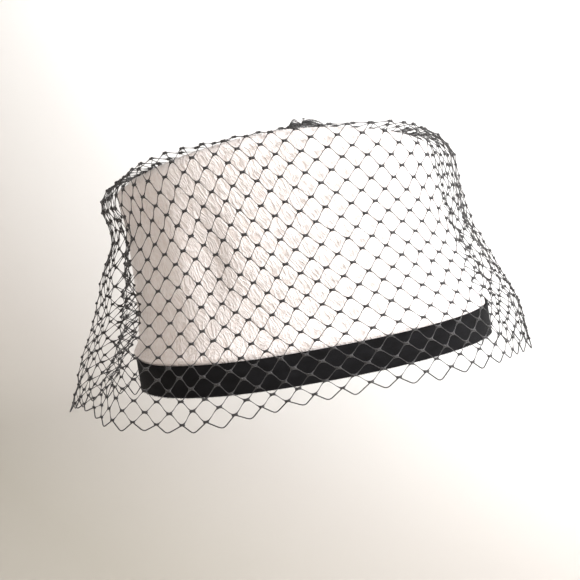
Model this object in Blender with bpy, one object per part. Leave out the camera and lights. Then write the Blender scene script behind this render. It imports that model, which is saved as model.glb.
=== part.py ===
"""Veiled pillbox hat: a hollow leather crown, a velvet band round its base and a net veil over the whole.

Metres, +Z up. The origin is the centre of the head opening, in the plane of the rim. +X runs along the hat's
long axis and -Y is its front. Angles are in degrees from +X, counterclockwise seen from above.
"""

from math import cos, pi, radians, sin

import bmesh
import bpy
import numpy as np

# Base of the hat, measured outside the band
BASE_LENGTH = 0.205
BASE_WIDTH = 0.1652
BASE_EGG = -0.14  # how much the half width grows towards +X, as a share: the oval is narrower there
SQUARENESS = 2.21  # exponent of the oval, 2 for a true ellipse

# Tip, measured at the line where side and top would meet if the edge were sharp
TIP_LENGTH = 0.1795
TIP_WIDTH = 0.1564
TIP_EGG = -0.08
TIP_SHIFT = -0.0082  # the tip sits off centre along X, so the hat leans
CROWN_HEIGHT = 0.1332  # rim to the middle of the front's top edge
EDGE_ARCH = 0.0166  # how far the top edge drops from its middle to its ends
BACK_DROP = 0.006  # how much lower the back's top edge is than the front's
TIP_DIP = 0.003  # how far the middle of the tip sinks below its edge
EDGE_RADIUS = 0.006

LEATHER_WALL = 0.002
WAIST = 0.0040  # how far the side is drawn in at half height
PUFF = 0.0016  # how far the leather stands proud of the band just above it
PUFF_REACH = 0.020
PUFF_ROUND = 0.0022  # height of the turn from the band's seat out to the puffed wall
RIM_TURN = 0.0010  # the leather stops this far above the band's lower edge

BAND_HEIGHT = 0.0176
BAND_THICKNESS = 0.0012
BAND_BEVEL = 0.0004
SEAT_GAP = 0.0003

# Net
NET_THICKNESS = 0.0012
NET_BAR = 0.0026
NET_FLARE = 0.040  # widest stand-off, at the hem on the -X end
NET_DROP = 0.016  # deepest part of the hem below the rim
HEM_SCALLOP = 0.0035
GATHER_SHIFT = 0.020  # the gather lies this far from the middle of the tip, along X
GATHER_RADIUS = 0.022
TUFT_RADIUS = 0.0060
TUFT_HEIGHT = 0.0095
PLEAT_DEPTH = 0.0010
NET_SEAT = 0.0013  # clearance of the gathered net over the tip

OVAL_STEPS = 48
NET_COLUMNS = 24
NET_ROWS = 5
BAR_STEPS = 3
TUFT_STEPS = 24

# Heights of the crown's wall rings, as shares of the way from the band to the rounded edge
WALL_RINGS = (0.08, 0.20, 0.34, 0.48, 0.62, 0.76, 0.90)
EDGE_ANGLES = (0, 30, 60, 90)
TIP_RINGS = (0.86, 0.66, 0.44, 0.22)

# Dents and puffs of the leather. Depths and reaches are shares of WAIST and of CROWN_HEIGHT
DENTS = (
    # angle, half_angle, height, half_height, depth
    (243, 9, 0.52, 0.20, 0.50),
    (252, 8, 0.24, 0.16, 0.35),
    (226, 11, 0.66, 0.22, -0.30),
    (283, 16, 0.60, 0.25, -0.25),
    (318, 12, 0.42, 0.20, 0.30),
    (28, 16, 0.50, 0.22, 0.25),
    (96, 20, 0.62, 0.22, 0.35),
    (152, 14, 0.40, 0.20, -0.25),
)

# How far the net stands off the crown at each level, as shares of NET_FLARE. place is 0 at the middle of the
# tip, 1 at the top edge, 2 at the rim and 3 at the hem. along is the share of the net's own length from the
# gather to the hem, and lean is the direction it stands off in, in degrees from straight up
NET_LEVELS = (
    # place, along, lean, right, back, left, front
    (0.66, 0.180, 0, 0.055, 0.045, 0.060, 0.045),
    (1.00, 0.345, 45, 0.085, 0.060, 0.130, 0.080),
    (1.10, 0.396, 75, 0.300, 0.130, 0.230, 0.100),
    (1.20, 0.447, 90, 0.310, 0.200, 0.210, 0.110),
    (1.42, 0.573, 90, 0.300, 0.240, 0.430, 0.115),
    (1.66, 0.710, 90, 0.430, 0.280, 0.610, 0.130),
    (1.88, 0.836, 90, 0.470, 0.330, 0.780, 0.180),
    (3.00, 1.000, 90, 0.520, 0.400, 0.940, 0.260),
)

# Depth of the hem below the rim round the hat, as shares of NET_DROP. Where negative it is above the rim
HEM_DROPS = (
    # angle, drop
    (0, 0.55),
    (50, 0.95),
    (130, 1.00),
    (172, 0.30),
    (195, -0.18),
    (213, 0.16),
    (232, 0.60),
    (253, 0.27),
    (278, 0.10),
    (312, 0.27),
    (342, 0.38),
)

# Folds of the net. depth is a share of NET_FLARE, inwards where negative. A fold grows from nothing at start
# to its whole depth at full and is gone again at end, all three given as places on the net
NET_FOLDS = (
    # angle, half_angle, start, full, end, depth
    (199, 7, 1.05, 1.66, 2.10, -0.40),
    (214, 8, 1.10, 3.00, 4.00, 0.16),
    (183, 8, 1.20, 3.00, 4.00, 0.10),
    (158, 10, 1.20, 2.20, 4.00, -0.16),
    (128, 12, 1.30, 2.20, 4.00, 0.16),
    (98, 10, 1.30, 2.20, 4.00, -0.12),
    (66, 12, 1.30, 2.20, 4.00, 0.14),
    (33, 9, 1.20, 2.20, 4.00, -0.16),
    (8, 10, 1.10, 2.20, 4.00, 0.12),
    (338, 9, 1.20, 2.20, 4.00, -0.10),
)


def oval(angle, half_length, half_width, egg, shift):
    """Point of the hat's plan outline at an angle in radians."""
    c, s = cos(angle), sin(angle)
    power = 2 / SQUARENESS
    x = half_length * np.sign(c) * abs(c) ** power
    y = half_width * (1 + egg * c) * np.sign(s) * abs(s) ** power
    return np.array((shift + x, y))


def angle_gap(angle, degrees):
    """Degrees from one direction to another, between -180 and 180."""
    return (np.degrees(angle) - degrees + 180) % 360 - 180


def bump(angle, degrees, half_angle):
    return np.exp(-((angle_gap(angle, degrees) / half_angle) ** 2))


def edge_height(x, y):
    """Height of the roof line: highest in the middle of the front, lower towards both ends and the back."""
    back = 0.5 + y / TIP_WIDTH
    return CROWN_HEIGHT - EDGE_ARCH * ((x - TIP_SHIFT) / (TIP_LENGTH / 2)) ** 2 - BACK_DROP * back


def dent_depth(angle, share):
    total = 0.0
    for centre, half_angle, height, half_height, depth in DENTS:
        fade = np.exp(-(((share - height) / half_height) ** 2))
        total += depth * WAIST * bump(angle, centre, half_angle) * fade
    return total


def band_face(angle, inset=0.0):
    """Plan outline of the band's outer face, drawn in by inset."""
    return oval(angle, BASE_LENGTH / 2 - inset, BASE_WIDTH / 2 - inset, BASE_EGG, 0)


def wall_outline(angle, share, inset=0.0):
    """Plan outline of the crown's side at a share of its height, drawn in by inset."""
    puff = PUFF * np.exp(-max(share * CROWN_HEIGHT - BAND_HEIGHT, 0) / PUFF_REACH)
    drawn_in = 4 * share * (1 - share) * WAIST - puff + dent_depth(angle, share) + inset
    base = np.array((BASE_LENGTH, BASE_WIDTH)) / 2
    tip = np.array((TIP_LENGTH, TIP_WIDTH)) / 2
    half_length, half_width = base + (tip - base) * share - drawn_in
    egg = BASE_EGG + (TIP_EGG - BASE_EGG) * share
    return oval(angle, half_length, half_width, egg, TIP_SHIFT * share)


def wall_point(angle, share, inset=0.0):
    """Point of the crown's side. share runs from 0 at the rim to 1 at the top edge."""
    x, y = wall_outline(angle, share, inset)
    return np.array((x, y, share * edge_height(*wall_outline(angle, 1.0))))


def tip_point(angle, share, inset=0.0):
    """Point of the tip. share runs from 0 at its middle to 1 at the top edge."""
    x, y = wall_outline(angle, 1.0, inset)
    x, y = TIP_SHIFT + (x - TIP_SHIFT) * share, y * share
    return np.array((x, y, edge_height(x, y) - TIP_DIP * (1 - share**2)))


def ring_of(point_at, steps=OVAL_STEPS):
    return [tuple(point_at(2 * pi * k / steps)) for k in range(steps)]


def bridge(bm, lower, upper):
    """Quads between two rings of as many points."""
    for k in range(len(lower)):
        after = (k + 1) % len(lower)
        bm.faces.new((lower[k], lower[after], upper[after], upper[k]))


def finish_object(name, bm, colour, roughness, sharp_degrees=35):
    """Makes an object with a Principled material of its own."""
    mesh = bpy.data.meshes.new(name)
    bmesh.ops.recalc_face_normals(bm, faces=bm.faces)
    bm.to_mesh(mesh)
    bm.free()
    mesh.shade_smooth()
    mesh.set_sharp_from_angle(angle=radians(sharp_degrees))
    material = bpy.data.materials.new(name)
    material.use_nodes = True
    principled = material.node_tree.nodes["Principled BSDF"]
    principled.inputs["Base Color"].default_value = (*colour, 1)
    principled.inputs["Roughness"].default_value = roughness
    principled.inputs["Metallic"].default_value = 0.0
    mesh.materials.append(material)
    thing = bpy.data.objects.new(name, mesh)
    bpy.context.collection.objects.link(thing)
    return thing


def thicken(thing, thickness, offset):
    wall = thing.modifiers.new("wall", "SOLIDIFY")
    wall.thickness = thickness
    wall.offset = offset
    wall.use_even_offset = True
    wall.use_quality_normals = True
    return thing


def crown_rings():
    """Rings of the leather's outer face, from the rim to the middle of the tip."""
    seat = BAND_THICKNESS + SEAT_GAP
    seat_top = BAND_HEIGHT + SEAT_GAP

    def seat_ring(height):
        return ring_of(lambda angle: (*band_face(angle, seat), height))

    def wall_ring(share_up):
        def point(angle):
            top = edge_height(*wall_outline(angle, 1.0))
            low = seat_top + PUFF_ROUND
            height = low + (top - EDGE_RADIUS - low) * share_up
            return wall_point(angle, height / top)

        return ring_of(point)

    def edge_ring(turn):
        def point(angle):
            inset = EDGE_RADIUS * (1 - cos(turn))
            x, y, top = wall_point(angle, 1.0, inset)
            return x, y, top - EDGE_RADIUS * (1 - sin(turn))

        return ring_of(point)

    def tip_ring(share):
        return ring_of(lambda angle: tip_point(angle, share, EDGE_RADIUS))

    rings = [seat_ring(RIM_TURN), seat_ring(seat_top)]
    rings += [wall_ring(share) for share in (0.0, *WALL_RINGS)]
    rings += [edge_ring(radians(turn)) for turn in EDGE_ANGLES]
    return rings + [tip_ring(share) for share in TIP_RINGS]


def make_crown():
    bm = bmesh.new()
    rings = [[bm.verts.new(point) for point in ring] for ring in crown_rings()]
    for lower, upper in zip(rings, rings[1:]):
        bridge(bm, lower, upper)
    middle = bm.verts.new(tip_point(0.0, 0.0))
    last = rings[-1]
    for k in range(OVAL_STEPS):
        bm.faces.new((last[k], last[(k + 1) % OVAL_STEPS], middle))
    crown = finish_object("crown", bm, (0.80, 0.72, 0.63), 0.5)
    return thicken(crown, LEATHER_WALL, -1)


def make_band():
    """Closed ring with a flat lower face and softened outer edges."""
    profile = (
        # inset from the outer face, height
        (BAND_THICKNESS, 0),
        (BAND_BEVEL, 0),
        (0, BAND_BEVEL),
        (0, BAND_HEIGHT - BAND_BEVEL),
        (BAND_BEVEL, BAND_HEIGHT),
        (BAND_THICKNESS, BAND_HEIGHT),
    )
    bm = bmesh.new()
    rings = []
    for inset, height in profile:
        ring = ring_of(lambda angle: (*band_face(angle, inset), height))
        rings.append([bm.verts.new(point) for point in ring])
    for lower, upper in zip(rings, rings[1:] + rings[:1]):
        bridge(bm, lower, upper)
    return finish_object("band", bm, (0.012, 0.012, 0.014), 0.95)


def by_direction(angle, right, back, left, front):
    """Blends four values round the hat, each one full in its own direction."""
    values = (right, back, left, front)
    turn = (angle / (pi / 2)) % 4
    first = int(turn) % 4
    ease = (1 - cos(pi * (turn - int(turn)))) / 2
    return values[first] + (values[(first + 1) % 4] - values[first]) * ease


def hem_drop(angle):
    """Depth of the hem below the rim, eased from each row of the table to the next."""
    turn = np.degrees(angle) % 360
    rows = (*HEM_DROPS, (HEM_DROPS[0][0] + 360, HEM_DROPS[0][1]))
    for (before, drop), (after, next_drop) in zip(rows, rows[1:]):
        if before <= turn <= after:
            ease = (1 - cos(pi * (turn - before) / (after - before))) / 2
            return NET_DROP * (drop + (next_drop - drop) * ease)


def fold_depth(angle, place):
    total = 0.0
    for centre, half_angle, start, full, end, depth in NET_FOLDS:
        grown = np.interp(place, (start, full, end), (0, 1, 0))
        total += depth * NET_FLARE * bump(angle, centre, half_angle) * grown
    return total


def guide_point(angle, place):
    """Point of the crown, or of its side carried on below the rim, that the net is measured from."""
    if place <= 1:
        return tip_point(angle, place)
    if place <= 2:
        return wall_point(angle, 2 - place)
    return np.array((*band_face(angle), -hem_drop(angle) * (place - 2)))


def outward(angle):
    """Unit plan direction square to the oval at the rim."""
    step = 0.01
    along = band_face(angle + step) - band_face(angle - step)
    side = np.array((along[1], -along[0]))
    return side / np.linalg.norm(side)


def gather_point(angle, radius, lift):
    """Point at a true radius from the middle of the gather, lifted off the leather."""
    x, y = GATHER_SHIFT + radius * cos(angle), radius * sin(angle)
    share = np.hypot(x / (TIP_LENGTH / 2), y / (TIP_WIDTH / 2))
    x += TIP_SHIFT
    return np.array((x, y, edge_height(x, y) - TIP_DIP * (1 - share**2) + lift))


def net_controls(angle):
    """(along, point) pairs of the net's line from the gather down to the hem."""
    yield 0.0, gather_point(angle, GATHER_RADIUS, NET_SEAT)
    side = outward(angle)
    for place, along, lean, *stand_off in NET_LEVELS:
        reach = NET_FLARE * by_direction(angle, *stand_off) + fold_depth(angle, place)
        out = sin(radians(lean)) * reach
        up = cos(radians(lean)) * reach
        yield along, guide_point(angle, place) + (side[0] * out, side[1] * out, up)


def net_point(column, along):
    """Point of the net. column counts round the hat, along runs from 0 at the gather to 1 at the hem."""
    angle = 2 * pi * column / NET_COLUMNS
    shares, points = zip(*net_controls(angle))
    shares, points = np.array(shares), np.array(points)
    slopes = np.gradient(points, shares, axis=0)
    k = int(np.clip(np.searchsorted(shares, along, side="right") - 1, 0, len(shares) - 2))
    span = shares[k + 1] - shares[k]
    t = (along - shares[k]) / span
    ahead = 3 * t**2 - 2 * t**3
    leaving, arriving = t - 2 * t**2 + t**3, t**3 - t**2
    path = points[k] * (1 - ahead) + points[k + 1] * ahead
    return path + span * (slopes[k] * leaving + slopes[k + 1] * arriving)


def bar_share(column, along):
    """Half a bar's width, as a share of one column's width at that place."""
    left, right = net_point(column - 0.5, along), net_point(column + 0.5, along)
    width = np.linalg.norm(right - left)
    most = 0.4 / (2 * BAR_STEPS)
    return min(NET_BAR / 2 / width, most)


def gap_corners(bm, column, row):
    """Vertices round one diamond gap: its tips, and its left and right sides by bar step.

    The last row is cut off at the hem, so it has a floor in place of its lower half.
    """
    steps = range(1, BAR_STEPS + 1 if row == NET_ROWS else 2 * BAR_STEPS)
    levels = NET_ROWS * BAR_STEPS
    top = (row - 1) * BAR_STEPS
    sides = {"left": {}, "right": {}}
    for k in steps:
        along = (top + k) / levels
        full = 0.5 * (1 - abs(k - BAR_STEPS) / BAR_STEPS)
        half = full - bar_share(column, along)
        sides["left"][k] = bm.verts.new(net_point(column - half, along))
        sides["right"][k] = bm.verts.new(net_point(column + half, along))

    def tip(k, way):
        along = (top + k) / levels
        pull = way * 2 * BAR_STEPS * bar_share(column, along)
        return bm.verts.new(net_point(column, (top + k + pull) / levels))

    sides["top"] = tip(0, 1)
    if row == NET_ROWS:
        sides["floor"] = bm.verts.new(net_point(column, 1.0))
    else:
        sides["bottom"] = tip(2 * BAR_STEPS, -1)
    return sides


def net_gaps(bm):
    """All the gaps by row and column. Odd rows are set half a column round."""
    gaps = {}
    for row in range(1, NET_ROWS + 1):
        for column in range(NET_COLUMNS):
            gaps[row, column] = gap_corners(bm, column + 0.5 * (row % 2), row)
    return gaps


def between(gaps, row, column):
    """The gap after (row, column) in its row, and those above and below the crossing between the two."""
    after = gaps[row, (column + 1) % NET_COLUMNS]
    middle = (column + row % 2) % NET_COLUMNS
    return after, gaps.get((row - 1, middle)), gaps.get((row + 1, middle))


def bar_faces(bm, upper, lower, upper_side, lower_side):
    """One bar, between the lower half of the gap above it and the upper half of the gap below it."""
    ends = [(upper[upper_side][BAR_STEPS], lower["top"])]
    for k in range(1, BAR_STEPS):
        ends.append((upper[upper_side][BAR_STEPS + k], lower[lower_side][k]))
    ends.append((upper["bottom"], lower[lower_side][BAR_STEPS]))
    for (a, b), (c, d) in zip(ends, ends[1:]):
        bm.faces.new((a, b, d, c))


def net_faces(bm, gaps):
    """Bars and crossings between the gaps."""
    for (row, column), gap in gaps.items():
        after, above, below = between(gaps, row, column)
        if row < NET_ROWS:
            bar_faces(bm, gap, below, "right", "left")
            bar_faces(bm, after, below, "left", "right")
        if 1 < row < NET_ROWS:
            bm.faces.new(
                (gap["right"][BAR_STEPS], above["bottom"], after["left"][BAR_STEPS], below["top"])
            )
        if row == 1:
            bm.faces.new((gap["right"][BAR_STEPS], after["left"][BAR_STEPS], below["top"]))


def top_faces(bm, gaps, ring):
    """Closed net between the gather and the first row of gaps. ring has two points a column."""
    for column in range(NET_COLUMNS):
        gap, after = gaps[1, column], gaps[1, (column + 1) % NET_COLUMNS]
        first = 2 * column + 1
        here, middle, there = (ring[(first + k) % len(ring)] for k in range(3))
        bm.faces.new((here, gap["top"], gap["right"][1], middle))
        bm.faces.new((middle, gap["right"][1], after["left"][1]))
        bm.faces.new((middle, after["left"][1], after["top"], there))
        for k in range(1, BAR_STEPS):
            bm.faces.new(
                (gap["right"][k], gap["right"][k + 1], after["left"][k + 1], after["left"][k])
            )


def hem_point(column, scallop):
    """Point of the hem's lower edge. scallop is 1 where the edge hangs lowest."""
    x, y, z = net_point(column, 1.0)
    return x, y, z - NET_BAR - HEM_SCALLOP * scallop


def hem_faces(bm, gaps):
    """The scalloped edge below the last row of gaps, with two scallops a column."""
    start = 0.5 * (NET_ROWS % 2)
    hem = []
    for k in range(4 * NET_COLUMNS):
        hem.append(bm.verts.new(hem_point(start + k / 4, k % 2)))
    for column in range(NET_COLUMNS):
        gap = gaps[NET_ROWS, column]
        after, above, _ = between(gaps, NET_ROWS, column)
        edge = [hem[(4 * column + k) % len(hem)] for k in range(5)]
        right, left = gap["right"][BAR_STEPS], after["left"][BAR_STEPS]
        bm.faces.new((gap["floor"], edge[0], edge[1], right))
        bm.faces.new((right, edge[1], edge[2], above["bottom"]))
        bm.faces.new((above["bottom"], edge[2], edge[3], left))
        bm.faces.new((left, edge[3], edge[4], after["floor"]))


def tuft_faces(bm, ring):
    """The gathered middle, drawn up to a small tuft. ring is the net's innermost ring."""
    profile = (
        # radius, lift, lift of every second pleat
        (GATHER_RADIUS * 0.55, NET_SEAT, PLEAT_DEPTH),
        (TUFT_RADIUS * 1.5, NET_SEAT + TUFT_HEIGHT * 0.1, PLEAT_DEPTH * 0.6),
        (TUFT_RADIUS, TUFT_HEIGHT * 0.55, 0),
        (TUFT_RADIUS * 1.1, TUFT_HEIGHT * 0.85, 0),
        (TUFT_RADIUS * 0.6, TUFT_HEIGHT, 0),
    )
    last = ring
    for radius, lift, pleat in profile:
        now = []
        for k in range(TUFT_STEPS):
            angle = 2 * pi * k / TUFT_STEPS
            now.append(bm.verts.new(gather_point(angle, radius, lift + pleat * (k % 2))))
        if len(last) == len(now):
            bridge(bm, last, now)
        else:
            for k in range(TUFT_STEPS):
                first, mid, end = (last[(2 * k + j) % len(last)] for j in range(3))
                bm.faces.new((first, mid, now[k]))
                bm.faces.new((mid, end, now[(k + 1) % TUFT_STEPS], now[k]))
        last = now
    bm.faces.new(last)


def make_veil():
    bm = bmesh.new()
    gaps = net_gaps(bm)
    ring = [bm.verts.new(net_point(k / 2, 0.0)) for k in range(2 * NET_COLUMNS)]
    top_faces(bm, gaps, ring)
    net_faces(bm, gaps)
    hem_faces(bm, gaps)
    tuft_faces(bm, ring)
    veil = finish_object("veil", bm, (0.02, 0.02, 0.022), 0.6)
    return thicken(veil, NET_THICKNESS, 1)


def main():
    for thing in list(bpy.data.objects):
        bpy.data.objects.remove(thing, do_unlink=True)
    make_crown()
    make_band()
    make_veil()


main()
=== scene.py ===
from math import pi, radians

import bpy
import numpy as np
from mathutils import Matrix, Vector, noise


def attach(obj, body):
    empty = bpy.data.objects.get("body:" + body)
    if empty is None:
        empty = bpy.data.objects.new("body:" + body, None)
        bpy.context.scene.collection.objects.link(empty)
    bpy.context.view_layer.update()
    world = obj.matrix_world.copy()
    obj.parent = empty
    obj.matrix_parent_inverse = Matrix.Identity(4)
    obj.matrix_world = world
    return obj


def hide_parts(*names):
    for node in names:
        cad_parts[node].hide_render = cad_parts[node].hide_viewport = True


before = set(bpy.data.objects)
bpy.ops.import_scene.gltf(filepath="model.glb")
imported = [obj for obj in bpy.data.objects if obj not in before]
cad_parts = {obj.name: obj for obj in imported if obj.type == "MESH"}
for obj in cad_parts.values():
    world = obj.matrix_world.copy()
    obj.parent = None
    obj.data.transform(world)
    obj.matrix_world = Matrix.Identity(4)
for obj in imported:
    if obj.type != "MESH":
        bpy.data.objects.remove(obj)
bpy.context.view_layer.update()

# The hat's form, in metres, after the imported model. Angles run from +X, counterclockwise from above
shape = {
    "baseLength": 0.205,
    "baseWidth": 0.1652,
    "baseEgg": -0.14,
    "squareness": 2.21,
    "tipLength": 0.1795,
    "tipWidth": 0.1564,
    "tipEgg": -0.08,
    "tipShift": -0.0082,
    "crownHeight": 0.1332,
    "edgeArch": 0.0166,
    "backDrop": 0.006,
    "tipDip": 0.003,
    "edgeRadius": 0.006,
    "leatherWall": 0.002,
    "waist": 0.0040,
    "puff": 0.0016,
    "puffReach": 0.020,
    "puffRound": 0.0022,
    "overhang": 0.0027,
    "overhangReach": 0.0075,
    "rimTurn": 0.0010,
    "bandHeight": 0.0176,
    "bandThickness": 0.0012,
    "seatGap": 0.0003,
}

dents = (
    # angle, half angle, height and half height as shares of the wall, depth as a share of the waist
    (241, 7.5, 0.52, 0.22, 0.78),
    (252, 8, 0.24, 0.16, 0.35),
    (226, 11, 0.66, 0.22, -0.30),
    (283, 16, 0.60, 0.25, -0.25),
    (318, 12, 0.42, 0.20, 0.30),
    (28, 16, 0.50, 0.22, 0.25),
    (96, 20, 0.62, 0.22, 0.35),
    (152, 14, 0.40, 0.20, -0.25),
    (6, 26, 0.155, 0.055, -0.48),
    (176, 26, 0.155, 0.055, -0.35),
)


def angleGap(angle, degreesAt):
    return (np.degrees(angle) - degreesAt + 180) % 360 - 180


def bell(angle, degreesAt, halfAngle):
    return np.exp(-((angleGap(angle, degreesAt) / halfAngle) ** 2))


def oval(angle, halfLength, halfWidth, egg, shift):
    c, s = np.cos(angle), np.sin(angle)
    power = 2 / shape["squareness"]
    x = shift + halfLength * np.sign(c) * np.abs(c) ** power
    y = halfWidth * (1 + egg * c) * np.sign(s) * np.abs(s) ** power
    return x, y


def edgeHeight(x, y):
    # Highest in the middle of the front, lower towards both ends and the back
    arch = shape["edgeArch"] * ((x - shape["tipShift"]) / (shape["tipLength"] / 2)) ** 2
    return shape["crownHeight"] - arch - shape["backDrop"] * (0.5 + y / shape["tipWidth"])


def tipHeight(x, y, share):
    return edgeHeight(x, y) - shape["tipDip"] * (1 - share**2)


def dentDepth(angle, share):
    total = 0.0
    for centre, halfAngle, height, halfHeight, depth in dents:
        fade = np.exp(-(((share - height) / halfHeight) ** 2))
        total = total + depth * shape["waist"] * bell(angle, centre, halfAngle) * fade
    return total


def bandFace(angle, inset=0.0):
    halfLength, halfWidth = shape["baseLength"] / 2 - inset, shape["baseWidth"] / 2 - inset
    return oval(angle, halfLength, halfWidth, shape["baseEgg"], 0)


def wallOutline(angle, share, inset=0.0):
    above = np.maximum(share * shape["crownHeight"] - shape["bandHeight"], 0)
    puff = shape["puff"] * np.exp(-above / shape["puffReach"])
    puff = puff + shape["overhang"] * np.exp(-((above / shape["overhangReach"]) ** 2)) * (above > 0)
    drawnIn = 4 * share * (1 - share) * shape["waist"] - puff + dentDepth(angle, share) + inset
    halfLength = (shape["baseLength"] + (shape["tipLength"] - shape["baseLength"]) * share) / 2 - drawnIn
    halfWidth = (shape["baseWidth"] + (shape["tipWidth"] - shape["baseWidth"]) * share) / 2 - drawnIn
    egg = shape["baseEgg"] + (shape["tipEgg"] - shape["baseEgg"]) * share
    return oval(angle, halfLength, halfWidth, egg, shape["tipShift"] * share)


def wallPoint(angle, share, inset=0.0):
    # share runs from 0 at the rim to 1 at the top edge
    x, y = wallOutline(angle, share, inset)
    top = edgeHeight(*wallOutline(angle, 1.0))
    return np.stack(np.broadcast_arrays(x, y, share * top), axis=-1)


def tipPoint(angle, share, inset=0.0):
    # share runs from 0 at the middle of the tip to 1 at the top edge
    x, y = wallOutline(angle, 1.0, inset)
    x, y = shape["tipShift"] + (x - shape["tipShift"]) * share, y * share
    return np.stack(np.broadcast_arrays(x, y, tipHeight(x, y, share)), axis=-1)


# Materials: a Wire is an output socket, and maths on sockets is written as plain sums
class Wire:
    def __init__(self, tree, socket):
        self.tree = tree
        self.socket = socket

    def add(self, kind, settings=None, values=None, output=0):
        node = self.tree.nodes.new(kind)
        for name, value in (settings or {}).items():
            if name == "stops":
                setStops(node.color_ramp, value)
            else:
                setattr(node, name, value)
        for name, value in (values or {}).items():
            if isinstance(value, Wire):
                self.tree.links.new(value.socket, node.inputs[name])
            else:
                node.inputs[name].default_value = value
        return Wire(self.tree, node.outputs[output])

    def cloud(self, scale, detail, roughness=0.5, output=0):
        values = {"Vector": self, "Scale": scale, "Detail": detail, "Roughness": roughness}
        return self.add("ShaderNodeTexNoise", None, values, output)

    def mapped(self, low, high, first=0.0, last=1.0):
        # Turns low into first and high into last
        return self.add("ShaderNodeMapRange", None, {"Value": self, 1: low, 2: high, 3: first, 4: last})

    def bump(self, strength, distance, under=None):
        # under is a coarser bump that this one lies on
        values = {"Strength": strength, "Distance": distance, "Height": self}
        if under:
            values["Normal"] = under
        return self.add("ShaderNodeBump", None, values)

    def maths(self, operation, first, second):
        return self.add("ShaderNodeMath", {"operation": operation}, {0: first, 1: second})

    def __add__(self, other):
        return self.maths("ADD", self, other)

    def __mul__(self, other):
        return self.maths("MULTIPLY", self, other)


def setStops(ramp, stops):
    while len(ramp.elements) > 1:
        ramp.elements.remove(ramp.elements[-1])
    for k, (place, colour) in enumerate(stops):
        element = ramp.elements[0] if k == 0 else ramp.elements.new(place)
        element.position = place
        element.color = (*colour, 1)


def newMaterial(name, **constants):
    # A Principled material with its constant values set, and a wire with the place in metres
    material = bpy.data.materials.new(name)
    material.use_nodes = True
    tree = material.node_tree
    shader = tree.nodes["Principled BSDF"]
    for socket, value in constants.items():
        shader.inputs[socket.replace("_", " ")].default_value = value
    place = tree.nodes.new("ShaderNodeTexCoord")
    return material, shader, Wire(tree, place.outputs["Object"])


def feed(shader, name, wire):
    wire.tree.links.new(wire.socket, shader.inputs[name])


def mixColour(share, first, second):
    # Colour sockets of a Mix node have the numbers 6 and 7, and its colour output is number 2
    ends = [end if isinstance(end, Wire) else (*end, 1) for end in (first, second)]
    return share.add("ShaderNodeMix", {"data_type": "RGBA"}, {0: share, 6: ends[0], 7: ends[1]}, 2)


# Meshes
def deselectAll():
    if bpy.context.mode != "OBJECT":
        bpy.ops.object.mode_set(mode="OBJECT")
    bpy.ops.object.select_all(action="DESELECT")


def wrappedGrid(name, across, along, place):
    # A flat grid, wrapped round the upright axis by place(angles, steps), with its seam and poles closed
    weld = 0.00002
    deselectAll()
    bpy.ops.mesh.primitive_grid_add(x_subdivisions=across, y_subdivisions=along, size=1, location=(0, 0, 0))
    piece = bpy.context.object
    piece.name = piece.data.name = name
    flat = np.empty(len(piece.data.vertices) * 3)
    piece.data.vertices.foreach_get("co", flat)
    flat = flat.reshape(-1, 3)
    angles = (flat[:, 0] + 0.5) * 2 * pi
    steps = np.rint((flat[:, 1] + 0.5) * along).astype(int)
    piece.data.vertices.foreach_set("co", place(angles, steps).ravel())
    bpy.ops.object.mode_set(mode="EDIT")
    bpy.ops.mesh.select_all(action="SELECT")
    bpy.ops.mesh.remove_doubles(threshold=weld)
    bpy.ops.mesh.normals_make_consistent(inside=False)
    bpy.ops.object.mode_set(mode="OBJECT")
    bpy.ops.object.shade_smooth()
    return piece


def unit(vectors):
    return vectors / (np.linalg.norm(vectors, axis=-1)[..., None] + 1e-12)


def meshPiece(name, points, faces):
    mesh = bpy.data.meshes.new(name)
    mesh.from_pydata(points.tolist(), [], faces)
    mesh.shade_smooth()
    piece = bpy.data.objects.new(name, mesh)
    bpy.context.collection.objects.link(piece)
    return piece


def finishPiece(piece, node, material):
    piece.data.materials.clear()
    piece.data.materials.append(material)
    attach(piece, "root")
    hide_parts(node)


# Camera
camera = {
    "roll": -8.9,
    "pitch": 7.2,
    "yaw": 2.3,
    "distance": 0.850,
    "aside": 0.01515,
    "below": -0.0382,
    "lens": 90.8,
    "clip": (0.02, 20),
}


def makeCamera():
    turn = Matrix.Rotation(radians(camera["roll"]), 3, "Y")
    turn = turn @ Matrix.Rotation(radians(camera["pitch"]), 3, "X")
    back = (turn @ Matrix.Rotation(radians(camera["yaw"]), 3, "Z")).transposed()
    right, ahead, up = back @ Vector((1, 0, 0)), back @ Vector((0, 1, 0)), back @ Vector((0, 0, 1))
    eye = back @ Vector((-camera["aside"], -camera["distance"], -camera["below"]))
    data = bpy.data.cameras.new("photoView")
    data.lens = camera["lens"]
    data.clip_start, data.clip_end = camera["clip"]
    view = bpy.data.objects.new("photoView", data)
    view.matrix_world = Matrix.Translation(eye) @ Matrix((right, up, -ahead)).transposed().to_4x4()
    bpy.context.collection.objects.link(view)
    bpy.context.scene.camera = view


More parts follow.
